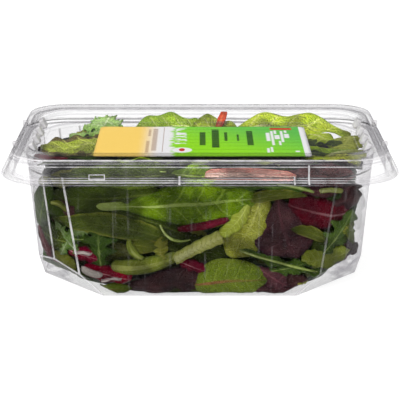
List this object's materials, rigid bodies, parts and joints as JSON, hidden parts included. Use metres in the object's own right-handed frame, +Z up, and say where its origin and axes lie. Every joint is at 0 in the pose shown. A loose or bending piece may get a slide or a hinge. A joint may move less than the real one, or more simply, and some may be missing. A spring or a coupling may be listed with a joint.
{
  "type": "tub of salad leaves",
  "caption": "A shut clear plastic tub filled with mixed salad leaves, its clear lid sunk in the middle round a printed label.",
  "frame": {"origin": "middle of the base, on the surface that the tub stands on", "axes": "+X along the long side of the tub, +Y towards the back, +Z up out of the lid"},
  "size_m": [0.24, 0.152, 0.0904],
  "materials": {
    "tub_plastic": "clear, thin, glossy thermoformed sheet",
    "lid_plastic": "clear, thin, glossy thermoformed sheet",
    "label_print": "satin film label with fields of orange, white and green",
    "leaves": "fresh leaves, green with crimson and purple among them"
  },
  "bodies": {
    "root": {"tub": "tub_plastic", "lid": "lid_plastic", "label": "label_print", "salad": "leaves"}
  },
  "joints": []
}
